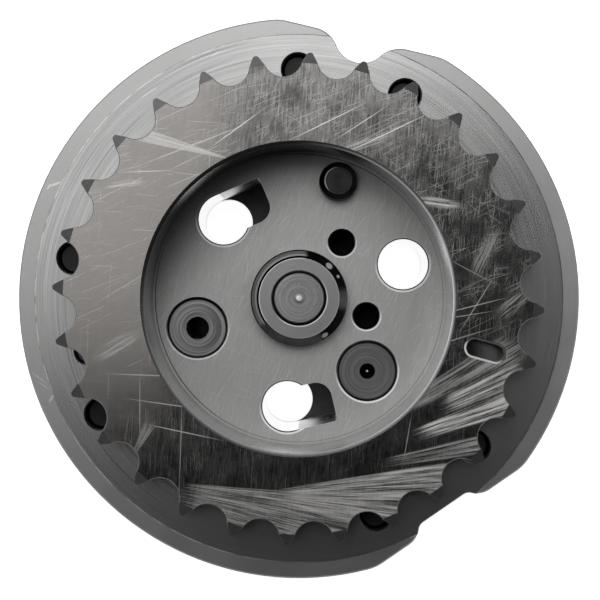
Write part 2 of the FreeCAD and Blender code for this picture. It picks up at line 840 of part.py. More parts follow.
def make_leaf_spring(root, side, angle):
    # Bowed strip whose ends stand on the slot's floor and whose middle meets the seal
    low = z_vane_low + leaf_end_inset
    high = z_vane_high - leaf_end_inset
    middle = (low + high) / 2
    bow = seal_spring_room - leaf_thickness - 2 * leaf_gap

    def at(x, z):
        return FreeCAD.Vector(root + side * (x + leaf_gap), -leaf_width / 2, z)

    edges = [arc(at(0, low), at(bow, middle), at(0, high)),
             line(at(0, high), at(leaf_thickness, high)),
             arc(at(leaf_thickness, high), at(bow + leaf_thickness, middle),
                 at(leaf_thickness, low)),
             line(at(leaf_thickness, low), at(0, low))]
    strip = Part.Face(Part.Wire(edges)).extrude(FreeCAD.Vector(0, leaf_width, 0))
    return turned(strip, angle)


def housing_pieces():
    found = {"sprocket": make_sprocket(),
             "cover_plate": make_cover_plate(),
             "vane_housing": make_vane_housing(),
             "far_cover": make_far_cover(),
             "housing_bolts": make_housing_bolts(),
             "locating_pin": make_locating_pin(),
             "lock_pin_seat": make_lock_pin_seat()}
    for index, (angle, half_spread) in enumerate(webs):
        number = str(index + 1)
        found["web_seal_" + number] = make_web_seal(angle)
        found["web_seal_spring_" + number] = make_leaf_spring(web_slot_root, -1, angle)
    return found


def rotor_pieces():
    found = {"rotor": make_rotor(),
             "dowel_pin": make_dowel_pin(),
             "pilot_plug": make_pilot_plug(),
             "check_valve_plug": make_check_valve_plug(),
             "check_valve_seat": make_check_valve_seat(),
             "centre_plug": make_centre_plug(),
             "spool_ring": make_spool_ring(),
             "lock_pin_cap": make_lock_pin_cap()}
    for index, angle in enumerate(vane_seal_angles()):
        number = str(index + 1)
        found["vane_seal_" + number] = make_vane_seal(angle)
        found["vane_seal_spring_" + number] = make_leaf_spring(vane_slot_root, 1, angle)
    return found


def moving_pieces():
    return {"lock_pin": make_lock_pin(),
            "spool": make_spool(),
            "pilot_piston": make_pilot_piston(),
            "check_valve_ball": make_check_valve_ball()}


def spring_pieces():
    return {"lock_pin_spring": make_spring(lock_spring_size, z_lock_spring,
                                           lock_pin_low_z + lock_hollow_depth,
                                           polar(lock_circle, lock_angle)),
            "spool_spring": make_spring(spool_spring_size, spool_cup_floor_z, z_centre_plug),
            "pilot_spring": make_spring(pilot_spring_size, piston_cup_floor(), z_pilot_plug,
                                        polar(pilot_circle, pilot_angle)),
            "check_valve_spring": make_check_valve_spring()}


os.makedirs("parts", exist_ok=True)
for group in (housing_pieces(), rotor_pieces(), moving_pieces(), spring_pieces()):
    for name, shape in group.items():
        shape.exportStep("parts/" + name + ".step")
        print(name, shape.isValid(), len(shape.Solids), round(shape.Volume, 2))
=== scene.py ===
import math

import bpy
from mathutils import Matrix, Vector

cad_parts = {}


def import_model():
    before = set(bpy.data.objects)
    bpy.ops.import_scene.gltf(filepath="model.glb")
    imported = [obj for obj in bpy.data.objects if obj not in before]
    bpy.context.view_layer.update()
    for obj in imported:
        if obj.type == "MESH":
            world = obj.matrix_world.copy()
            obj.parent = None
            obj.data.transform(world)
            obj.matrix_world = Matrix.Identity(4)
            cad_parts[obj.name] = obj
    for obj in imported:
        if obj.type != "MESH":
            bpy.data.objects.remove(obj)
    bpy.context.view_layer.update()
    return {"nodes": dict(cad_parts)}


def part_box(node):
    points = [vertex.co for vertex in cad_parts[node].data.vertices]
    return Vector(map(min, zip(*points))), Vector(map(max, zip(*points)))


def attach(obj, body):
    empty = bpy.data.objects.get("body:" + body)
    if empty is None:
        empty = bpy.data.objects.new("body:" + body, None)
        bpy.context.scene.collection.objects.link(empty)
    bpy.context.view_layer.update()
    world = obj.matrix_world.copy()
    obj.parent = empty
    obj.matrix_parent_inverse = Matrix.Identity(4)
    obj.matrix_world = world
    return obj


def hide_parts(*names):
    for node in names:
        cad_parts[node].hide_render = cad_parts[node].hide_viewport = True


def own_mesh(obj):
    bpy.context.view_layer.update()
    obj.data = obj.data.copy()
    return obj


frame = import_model()
nodes = frame["nodes"]

MM = 0.001

# Sizes of the CAD frame that the finishes follow, in mm
BAND_RADIUS = 48.35
RECESS_RADIUS = 27.4
SPROCKET_FACE = 41.0
ROTOR_FLOOR = 23.22
BOSS_RADIUS = 9.0
SEAT_RADIUS = 26.9
BOSS_EDGE = 7.4
BOLT_HOLE_RADIUS = 4.7
FEED_RADIUS = 2.44
SPOOL_BORE = 4.7
PLUG_RADIUS = 5.6

# Radii of the painted highlight rims round the mouths of the bolt holes, plugs and feed holes
BOLT_RIM = 5.10
PLUG_RIM = 5.82
FEED_RIM = 2.68

# The way in which the recess lies in shade
SHADED_WAY = (-0.64, 0.77, 0.0)

# Round mouths in the rotor's floor: circle, angle, radius and that of the painted highlight rim
ROUND_MOUTHS = (
    (20.43, 18.0, BOLT_HOLE_RADIUS, BOLT_RIM),
    (20.43, 133.9, BOLT_HOLE_RADIUS, BOLT_RIM),
    (20.43, 263.7, BOLT_HOLE_RADIUS, BOLT_RIM),
    (19.90, 196.5, PLUG_RADIUS, PLUG_RIM),
    (18.74, 312.8, PLUG_RADIUS, PLUG_RIM),
    (13.04, 52.4, FEED_RADIUS, FEED_RIM),
    (13.00, 344.8, FEED_RADIUS, FEED_RIM),
)

# Painted highlights on the boss's chamfer: angle, radius, length and width
BOSS_GLINTS = (
    (47.0, 8.15, 1.3, 0.9),
    (29.0, 8.25, 0.6, 0.5),
    (305.0, 8.35, 1.2, 0.7),
)


# ---------------------------------------------------------------- node graphs
class Graph:
    """One material, built from short calls. Lengths are in mm of the part's own frame."""

    def __init__(self, name, metallic=1.0):
        self.material = bpy.data.materials.new(name)
        self.material.use_nodes = True
        self.nodes = self.material.node_tree.nodes
        self.links = self.material.node_tree.links
        self.shader = self.nodes["Principled BSDF"]
        self.shader.inputs["Metallic"].default_value = metallic
        place = self.nodes.new("ShaderNodeTexCoord").outputs["Object"]
        self.place = self.vector("SCALE", place, scale=1 / MM)
        self.x, self.y, self.z = self.split(self.place)
        self.normal = self.nodes.new("ShaderNodeNewGeometry").outputs["Normal"]

    def feed(self, socket, value):
        if isinstance(value, bpy.types.NodeSocket):
            self.links.new(value, socket)
        elif value is not None:
            socket.default_value = value

    def math(self, operation, *values, clamp=False):
        made = self.nodes.new("ShaderNodeMath")
        made.operation = operation
        made.use_clamp = clamp
        for socket, value in zip(made.inputs, values):
            self.feed(socket, value)
        return made.outputs[0]

    def add(self, *values):
        total = values[0]
        for value in values[1:]:
            total = self.math("ADD", total, value)
        return total

    def times(self, *values):
        total = values[0]
        for value in values[1:]:
            total = self.math("MULTIPLY", total, value)
        return total

    def most(self, *values):
        total = values[0]
        for value in values[1:]:
            total = self.math("MAXIMUM", total, value)
        return total

    def vector(self, operation, *values, scale=None):
        made = self.nodes.new("ShaderNodeVectorMath")
        made.operation = operation
        for socket, value in zip(made.inputs, values):
            self.feed(socket, value)
        if scale is not None:
            made.inputs["Scale"].default_value = scale
        length = operation in ("LENGTH", "DOT_PRODUCT", "DISTANCE")
        return made.outputs["Value" if length else "Vector"]

    def split(self, vector):
        made = self.nodes.new("ShaderNodeSeparateXYZ")
        self.feed(made.inputs[0], vector)
        return made.outputs[0], made.outputs[1], made.outputs[2]

    def join(self, x, y, z):
        made = self.nodes.new("ShaderNodeCombineXYZ")
        for socket, value in zip(made.inputs, (x, y, z)):
            self.feed(socket, value)
        return made.outputs[0]

    def smooth(self, value, low, high, start=0.0, end=1.0):
        made = self.nodes.new("ShaderNodeMapRange")
        made.interpolation_type = "SMOOTHSTEP"
        for name, number in zip(
            ("Value", "From Min", "From Max", "To Min", "To Max"),
            (value, low, high, start, end),
        ):
            self.feed(made.inputs[name], number)
        return made.outputs["Result"]

    def noise(self, vector, scale, detail=2.0, rough=0.5):
        made = self.nodes.new("ShaderNodeTexNoise")
        self.feed(made.inputs["Vector"], vector)
        made.inputs["Scale"].default_value = scale
        made.inputs["Detail"].default_value = detail
        made.inputs["Roughness"].default_value = rough
        return made.outputs["Fac"]

    def mix(self, factor, a, b):
        made = self.nodes.new("ShaderNodeMix")
        made.data_type = "FLOAT"
        for socket, value in zip(made.inputs[:4], (factor, None, a, b)):
            self.feed(socket, value)
        return made.outputs[0]

    def blend(self, factor, a, b):
        """Mix of two colours."""
        made = self.nodes.new("ShaderNodeMix")
        made.data_type = "RGBA"
        self.feed(made.inputs[0], factor)
        self.feed(made.inputs[6], colour(a))
        self.feed(made.inputs[7], colour(b))
        return made.outputs[2]

    def about_z(self, vector, angle):
        """The vector, turned so that its x runs along a line at this angle in degrees."""
        made = self.nodes.new("ShaderNodeVectorRotate")
        made.rotation_type = "Z_AXIS"
        self.feed(made.inputs["Vector"], vector)
        made.inputs["Angle"].default_value = -math.radians(angle)
        return made.outputs[0]

    def turned(self, angle, seed=0.0):
        """The place, turned to this angle and moved on by the seed."""
        along = self.about_z(self.place, angle)
        if not seed:
            return along
        return self.vector("ADD", along, (seed * 7.3, seed * 3.1, seed * 1.7))

    def streaks(self, angle, length, width, low, high, seed=0.0, detail=1.0):
        """Fine straight lines at an angle, this long and wide, 0 between them and 1 on them."""
        lines = self.vector(
            "MULTIPLY", self.turned(angle, seed), (1 / length, 1 / width, 0.05)
        )
        return self.smooth(self.noise(lines, 1.0, detail), low, high)

    def scratches(self, angle, length, gap, width, spread, share, seed):
        """Straight scratches near an angle. Each lies in a cell of its own, this long and
        wide, and only this share of the cells has one."""
        cells = self.vector("MULTIPLY", self.turned(angle, seed), (1 / length, 1 / gap, 0))
        made = self.nodes.new("ShaderNodeTexVoronoi")
        made.voronoi_dimensions = "2D"
        made.inputs["Scale"].default_value = 1.0
        self.feed(made.inputs["Vector"], cells)
        away = self.vector("SUBTRACT", cells, made.outputs["Position"])
        along, across, _ = self.split(self.vector("MULTIPLY", away, (length, gap, 0)))
        chance, lean, force = self.split(made.outputs["Color"])
        lean = self.math("MULTIPLY_ADD", lean, 2 * math.radians(spread), -math.radians(spread))
        off = self.math("ABSOLUTE", self.math("SUBTRACT", across, self.times(along, lean)))
        line = self.smooth(off, width, width * 0.2)
        ends = self.smooth(self.math("ABSOLUTE", along), length * 0.5, length * 0.3)
        there = self.math("LESS_THAN", chance, share)
        return self.times(line, ends, there, self.mix(force, 0.35, 1.0))

    def slab(self, x, y, angle, length, width):
        """Distance in mm from the outline of an oblong at x, y, less than 0 inside it."""
        moved = self.vector("SUBTRACT", self.place, (x, y, 0))
        along, across, _ = self.split(self.about_z(moved, angle))
        reach = self.math("SUBTRACT", self.math("ABSOLUTE", along), (length - width) / 2)
        reach = self.math("MAXIMUM", reach, 0.0)
        away = self.vector("LENGTH", self.join(reach, across, 0.0))
        return self.math("SUBTRACT", away, width / 2)

    def broken(self, low, high, scale, seed):
        """Soft clouds that break lines up."""
        moved = self.vector("ADD", self.place, (seed * 5.1, seed * 9.7, 0.0))
        return self.smooth(self.noise(moved, scale, 2.0), low, high)

    def fan(self, x, y, start, end, near, far, force, seed, fine=1.0):
        """Strokes that spread from a point, between two angles and two distances."""
        moved = self.vector("SUBTRACT", self.place, (x, y, 0))
        dx, dy, _ = self.split(moved)
        middle = (start + end) / 2
        turn = self.math("ARCTAN2", dy, dx)
        if middle > 90:
            turn = self.math("WRAP", turn, 2 * math.pi, 0.0)
        turn = self.times(turn, 180 / math.pi)
        reach = self.vector("LENGTH", self.vector("MULTIPLY", moved, (1, 1, 0)))
        across = self.join(self.times(turn, 1.3 * fine), self.times(reach, 0.06), seed)
        stroke = self.smooth(self.noise(across, 1.0, 6.0, 0.75), 0.36, 0.62, 0.12, 1.0)
        ragged = self.noise(self.join(self.times(turn, 1.6), 0.0, seed + 4), 1.0, 2.0)
        begin = self.add(near, self.times(ragged, (far - near) * 0.35))
        stop = self.add(far, self.times(ragged, (near - far) * 0.25))
        across = self.times(
            self.smooth(turn, start - 0.5, start + 0.5), self.smooth(turn, end + 0.5, end - 0.5)
        )
        along = self.times(
            self.smooth(self.math("SUBTRACT", reach, begin), -2.5, 2.5),
            self.smooth(self.math("SUBTRACT", stop, reach), -1.5, 1.5),
        )
        return self.times(stroke, across, along, force)

    def patch(self, x, y, angle, length, width, edge=0.35):
        """An oval at x, y in mm, soft at its edge."""
        moved = self.vector("SUBTRACT", self.place, (x, y, 0))
        oval = self.vector("MULTIPLY", self.about_z(moved, angle), (2 / length, 2 / width, 0))
        return self.smooth(self.vector("LENGTH", oval), 1 + edge, 1 - edge)

    def polar(self, x=0.0, y=0.0):
        """Radius from an axis at x, y and the unit direction from it."""
        flat = self.vector("SUBTRACT", self.vector("MULTIPLY", self.place, (1, 1, 0)), (x, y, 0))
        return self.vector("LENGTH", flat), self.vector("NORMALIZE", flat)

    def rings(self, radius, outward, pitch, arc=1.2, detail=2.0):
        """Turning lines: noise that is fine across the radius and long round it."""
        ux, uy, _ = self.split(outward)
        round_it = self.join(
            self.times(ux, arc), self.times(uy, arc), self.math("DIVIDE", radius, pitch)
        )
        return self.noise(round_it, 1.0, detail)

    def facing(self, outward, way, low, high, start=0.0, end=1.0):
        """Smooth step of how far a direction agrees with this way."""
        return self.smooth(self.vector("DOT_PRODUCT", outward, way), low, high, start, end)

    def around(self, radius, at, outer, inner):
        """1 within the inner distance of this radius, and 0 beyond the outer one."""
        return self.smooth(
            self.math("ABSOLUTE", self.math("SUBTRACT", radius, at)), outer, inner
        )

    def upright(self, low, high):
        """Smooth step of how far a face looks up or down."""
        return self.smooth(self.math("ABSOLUTE", self.split(self.normal)[2]), low, high)

    def edges(self, width):
        """1 along an edge of the mesh and 0 on its faces."""
        made = self.nodes.new("ShaderNodeBevel")
        made.samples = 6
        made.inputs["Radius"].default_value = width * MM
        even = self.vector("DOT_PRODUCT", made.outputs[0], self.normal)
        return self.smooth(even, 0.995, 0.9)

    def upward(self):
        """1 on a face that looks up."""
        return self.smooth(self.split(self.normal)[2], 0.93, 0.99)

    def bump(self, height, depth):
        """Normal of a relief of this depth in mm."""
        made = self.nodes.new("ShaderNodeBump")
        made.inputs["Strength"].default_value = 1.0
        made.inputs["Distance"].default_value = depth * MM
        self.feed(made.inputs["Height"], height)
        return made.outputs[0]

    def finish(self, tint, roughness, normal=None, painted_highlight=None):
        """Joins the values to the shader. Painted highlights aren't metallic, so they show
            the light of all lamps, whatever way they face."""
        self.feed(self.shader.inputs["Base Color"], tint)
        self.feed(self.shader.inputs["Roughness"], roughness)
        if painted_highlight is not None:
            self.feed(self.shader.inputs["Metallic"], self.math("SUBTRACT", 1.0, painted_highlight))
        if normal is not None:
            self.feed(self.shader.inputs["Normal"], normal)
        return self.material


def colour(value):
    """Grey from a number, colour from three."""
    if isinstance(value, (int, float)):
        value = (value, value, value)
    return (*value, 1.0) if isinstance(value, tuple) else value


def spot(circle, angle):
    """x and y at this radius and angle in degrees."""
    return circle * math.cos(math.radians(angle)), circle * math.sin(math.radians(angle))


# ------------------------------------------------------------------ materials
def sprocket_material():
    """Lapped steel: warm grey, cross-hatched, with fans of brighter rubbing marks."""
    g = Graph("sprocket_steel_lapped")
    face = g.times(g.upward(), g.smooth(g.z, SPROCKET_FACE - 0.4, SPROCKET_FACE - 0.1))
    radius, outward = g.polar()
    cloud = g.noise(g.place, 0.16, 4.0, 0.6)
    fine = g.noise(g.place, 1.6, 4.0, 0.65)
    brushed = g.noise(g.vector("MULTIPLY", g.turned(84.0), (0.25, 2.6, 0.1)), 1.0, 4.0, 0.7)

    # the left side, painted lighter and warm as lit, and the hatched rest, painted dark as shade
    slope = g.math("MULTIPLY_ADD", g.x, -0.9, g.y)
    wavy = g.math("MULTIPLY_ADD", cloud, 14.0, -7.0)
    left = g.times(
        g.smooth(g.add(g.x, wavy), -6.0, -20.0), g.smooth(g.add(slope, wavy), -6.0, 16.0)
    )
    calm = g.smooth(g.y, -24.0, 2.0, 0.65, 1.0)
    calmer = g.smooth(g.y, -24.0, 6.0, 0.25, 1.0)
    marks = None
    for angle, length, gap, width, spread, share, seed, on_left, on_right in HATCH:
        line = g.scratches(angle, length, gap, width, spread, share, seed)
        line = g.times(line, g.mix(left, on_right, on_left), calm if 80 < angle < 110 else calmer)
        marks = line if marks is None else g.most(marks, line)
    marks = g.times(marks, g.broken(0.28, 0.58, 0.24, 2.0))
    for x, y, angle, length, force in SCRATCHES:
        marks = g.most(marks, g.times(g.patch(x, y, angle, length, 0.17, 0.6), force))
    for values in FANS:
        marks = g.most(marks, g.fan(*values))
    for x, y, angle, length, width, force in RUBS:
        stroke = g.streaks(angle, length * 0.9, 0.3, 0.34, 0.60, x + y, 5.0)
        marks = g.most(marks, g.times(g.patch(x, y, angle, length, width, 0.5), stroke, force))

    # a painted highlight round the slot's lip, strongest on its lower side
    slot = g.slab(*SLOT)
    lit_lower_side = g.smooth(g.math("MULTIPLY_ADD", g.x, 0.58, g.y), 10.4, 8.8, 0.15, 0.75)
    lip_highlight = g.times(g.smooth(slot, 0.42, 0.30), lit_lower_side)
    marks = g.most(g.times(marks, g.smooth(slot, 0.35, 0.45)), lip_highlight)
    worn_and_lit_lip = g.times(face, marks)
    sunk = g.times(
        g.smooth(slot, 0.05, -0.05), g.smooth(g.z, SPROCKET_FACE - 0.2, SPROCKET_FACE - 0.4)
    )

    edge = g.edges(0.10)
    bore = g.times(
        g.smooth(radius, RECESS_RADIUS + 0.6, RECESS_RADIUS),
        g.smooth(g.z, ROTOR_FLOOR - 0.3, ROTOR_FLOOR),
    )
    # painted shade on the walls on the side of the shaded way, and painted light on those toward
    # the upper right
    painted_shade = g.facing(outward, SHADED_WAY, 0.35, 0.85)
    bright = g.facing(outward, (0.5, 0.86, 0.0), -0.9, 0.6)
    sized = g.blend(bright, g.blend(fine, 0.33, 0.43), g.blend(fine, 0.84, 0.94))
    sized = g.blend(painted_shade, sized, g.blend(fine, 0.015, 0.045))
    side = g.blend(bore, g.blend(fine, 0.08, 0.14), sized)
    # painted shade: the slot's floor darker toward its left end
    side = g.blend(sunk, side, g.blend(g.smooth(g.x, 30.4, 34.2), 0.015, 0.11))
    mottle = g.smooth(g.mix(0.4, brushed, cloud), 0.34, 0.66)
    # lit and shaded tints of one steel: painted light on the left side, painted shade on the rest
    dark = g.blend(mottle, (0.055, 0.054, 0.053), (0.25, 0.245, 0.24))
    light = g.blend(g.mix(0.4, brushed, cloud), (0.26, 0.246, 0.234), (0.33, 0.314, 0.300))
    tint = g.blend(left, dark, light)
    tint = g.blend(face, side, tint)
    # the rubbing marks, together with the painted highlight of the slot's lip
    tint = g.blend(worn_and_lit_lip, tint, (0.93, 0.92, 0.90))
    tint = g.blend(g.times(edge, 0.45), tint, 0.75)
    rough = g.mix(
        face,
        g.mix(bore, g.mix(fine, 0.38, 0.52), g.mix(fine, 0.18, 0.26)),
        g.mix(fine, 0.17, 0.25),
    )
    rough = g.mix(worn_and_lit_lip, rough, 0.58)
    return g.finish(tint, rough)


# angle, length, gap and width in mm, spread of the angle, share of cells, seed, and how
# bright on the left side, which is painted lighter as lit, and on the rest
HATCH = (
    (88.0, 6.0, 0.40, 0.050, 7.0, 0.55, 1.0, 0.06, 0.36),
    (93.0, 3.5, 0.34, 0.045, 10.0, 0.50, 11.0, 0.05, 0.28),
    (27.0, 8.0, 0.70, 0.055, 5.0, 0.45, 2.0, 0.28, 0.42),
    (64.0, 4.0, 0.50, 0.050, 14.0, 0.42, 3.0, 0.06, 0.32),
    (-32.0, 5.0, 0.80, 0.050, 12.0, 0.35, 4.0, 0.10, 0.34),
    (104.0, 3.6, 0.40, 0.045, 9.0, 0.45, 5.0, 0.05, 0.28),
    (12.0, 6.0, 0.90, 0.060, 10.0, 0.45, 6.0, 0.34, 0.38),
    (50.0, 2.4, 0.60, 0.050, 70.0, 0.55, 7.0, 0.14, 0.30),
    (85.0, 11.0, 2.20, 0.070, 5.0, 0.50, 8.0, 0.34, 0.36),
    (-3.0, 9.0, 2.20, 0.070, 6.0, 0.50, 9.0, 0.42, 0.14),
    (23.0, 12.0, 2.20, 0.080, 6.0, 0.60, 10.0, 0.46, 0.44),
)

# centre x, y in mm, angle, length and width of the slot
SLOT = (32.96, -9.14, -15.5, 6.8, 3.0)

# x, y in mm, angle, length, how bright
SCRATCHES = (
    (5.2, 31.3, 26.0, 11.5, 0.80),
    (15.6, 29.2, 25.5, 13.5, 0.85),
    (11.0, 31.0, 33.0, 9.0, 0.60),
    (-18.6, 27.2, 21.0, 17.0, 0.50),
    (-11.0, 30.0, 36.0, 9.0, 0.75),
    (-27.0, 22.5, 2.0, 8.0, 0.55),
    (-20.5, -23.5, -12.0, 12.0, 0.60),
    (-22.0, -18.8, -8.0, 14.0, 0.50),
    (-26.5, -13.5, -2.0, 12.0, 0.45),
    (-26.0, -6.0, 87.0, 10.0, 0.35),
    (-20.8, -26.5, 88.0, 16.0, 0.40),
    (-28.0, -20.0, 90.0, 12.0, 0.35),
    (-29.5, 3.0, 31.0, 13.0, 0.35),
    (28.3, -7.0, 17.0, 12.0, 0.45),
    (30.0, -1.5, 14.0, 12.0, 0.50),
    (29.2, -3.0, 9.0, 10.0, 0.40),
    (19.2, -25.0, 80.0, 9.0, 0.40),
    (31.5, -1.0, 58.0, 12.0, 0.42),
    (31.0, 4.6, -28.0, 9.0, 0.32),
)

# centre x, y in mm, from and to angle, from and to distance, how bright, seed, fineness
FANS = (
    (-4.0, -32.5, 27.5, 33.0, 22.0, 51.0, 0.50, 1.0, 1.0),
    (-4.0, -32.5, 22.0, 27.0, 30.0, 50.0, 0.80, 2.0, 1.0),
    (-4.0, -32.5, 16.4, 21.4, 23.0, 48.0, 0.82, 3.0, 1.0),
    (-4.0, -32.5, 8.0, 13.0, 16.0, 46.0, 0.56, 4.0, 1.0),
    (-9.0, -34.5, -16.0, 9.0, -2.0, 44.0, 0.72, 5.0, 0.8),
    (-34.0, -31.5, -20.0, -4.5, 8.0, 52.0, 0.62, 6.0, 1.2),
    (-11.0, 24.4, 160.5, 168.5, -2.0, 20.0, 0.60, 7.0, 1.8),
    (-30.5, -30.0, 55.0, 68.0, 2.0, 10.0, 0.45, 8.0, 0.7),
)

# x, y in mm, angle, length, width, how bright
RUBS = (
    (-32.0, -8.3, 30.0, 8.0, 2.4, 0.35),
    (24.8, 17.0, -8.0, 7.0, 1.6, 0.55),
    (12.0, 27.5, 20.0, 8.0, 2.0, 0.35),
    (-30.6, 20.2, 8.0, 6.0, 1.2, 0.40),
    (33.0, 8.0, 65.0, 8.0, 3.0, 0.30),
    (38.0, -1.0, 40.0, 6.0, 3.0, 0.35),
    (36.5, -10.0, 30.0, 8.0, 5.0, 0.35),
)


def plate_material():
    """Fine turned face inside a dull sintered band."""
    g = Graph("cover_plate_turned")
    radius, outward = g.polar()
    fine = g.noise(g.place, 2.2, 3.0, 0.6)
    cloud = g.noise(g.place, 0.10, 4.0)
    lines = g.rings(radius, outward, 0.24, 1.8, 2.0)
    broad = g.rings(radius, outward, 0.9, 3.0, 3.0)
    deep = g.smooth(g.rings(radius, outward, 0.30, 1.1, 1.0), 0.63, 0.70)
    bright = g.smooth(g.rings(g.add(radius, 60.0), outward, 0.22, 1.3, 1.0), 0.64, 0.72)
    band = g.smooth(radius, BAND_RADIUS - 0.05, BAND_RADIUS + 0.05)
    flat = g.upward()
    edge = g.edges(0.12)
    face = g.blend(lines, (0.35, 0.348, 0.345), (0.53, 0.526, 0.522))
    face = g.blend(g.times(g.smooth(broad, 0.35, 0.65), 0.35), face, 0.30)
    face = g.blend(g.times(deep, 0.55), face, 0.16)
    face = g.blend(g.times(bright, 0.30), face, 0.80)
    speck = g.smooth(g.noise(g.place, 1.1, 3.0, 0.7), 0.62, 0.72)
    dull = g.blend(g.mix(0.5, fine, cloud), (0.36, 0.358, 0.355), (0.50, 0.498, 0.495))
    dull = g.blend(g.times(speck, 0.3), dull, 0.28)
    nick = None
    for x, y, angle, length, width in PLATE_NICKS:
        here = g.patch(x, y, angle, length, width)
        nick = here if nick is None else g.most(nick, here)
    tint = g.blend(band, face, dull)
    tint = g.blend(flat, g.blend(fine, 0.17, 0.26), tint)
    # the step line round the band: painted highlight on its left part and painted shade on its
    # right
    step = g.around(radius, BAND_RADIUS - 0.12, 0.16, 0.06)
    step = g.times(step, g.broken(0.30, 0.60, 0.4, 3.0))
    tint = g.blend(g.times(step, 0.8), tint, g.blend(g.smooth(g.x, -20.0, 10.0), 0.85, 0.08))
    tint = g.blend(g.most(g.times(edge, 0.5), g.times(nick, 0.6)), tint, 0.80)
    rough = g.mix(band, g.mix(broad, 0.23, 0.26), g.mix(cloud, 0.29, 0.35))
    rough = g.mix(flat, 0.45, rough)
    return g.finish(tint, rough, g.bump(g.times(fine, band), 0.002))


# x, y in mm, angle, length and width of the nicks on the plate
PLATE_NICKS = (
    (-44.6, 20.9, 20.0, 2.2, 0.40),
    (-45.8, 20.4, 60.0, 1.2, 0.35),
    (-47.5, -14.6, -38.0, 3.4, 0.18),
    (-46.8, -15.9, -35.0, 2.6, 0.14),
    (-45.3, -18.3, 60.0, 1.6, 0.50),
    (-16.2, 45.4, 25.0, 2.6, 0.14),
    (-15.2, 44.7, 32.0, 1.8, 0.12),
    (-27.4, 37.6, 33.0, 3.6, 0.14),
    (10.6, -43.0, 78.0, 2.6, 0.08),
)


def sintered_material():
    """Pressed and sintered steel: fine pores, dull, sized walls."""
    g = Graph("sintered_steel_plain")
    fine = g.noise(g.place, 3.0, 4.0, 0.65)
    cloud = g.noise(g.place, 0.12, 3.0)
    pores = g.smooth(g.noise(g.place, 6.0, 1.0), 0.70, 0.76)
    drawn = g.noise(g.vector("MULTIPLY", g.place, (2.5, 2.5, 0.15)), 1.0, 2.0)
    wall = g.math("SUBTRACT", 1.0, g.upright(0.2, 0.6))
    edge = g.edges(0.12)
    tint = g.blend(g.mix(0.5, fine, cloud), (0.19, 0.188, 0.186), (0.30, 0.298, 0.295))
    tint = g.blend(g.times(wall, drawn, 0.4), tint, 0.36)
    tint = g.blend(pores, tint, 0.07)
    tint = g.blend(g.times(edge, 0.55), tint, 0.7)
    rough = g.mix(fine, 0.44, 0.60)
    relief = g.add(g.times(fine, 0.5), g.times(pores, -0.8), g.times(wall, drawn, 0.4))
    return g.finish(tint, rough, g.bump(relief, 0.005))


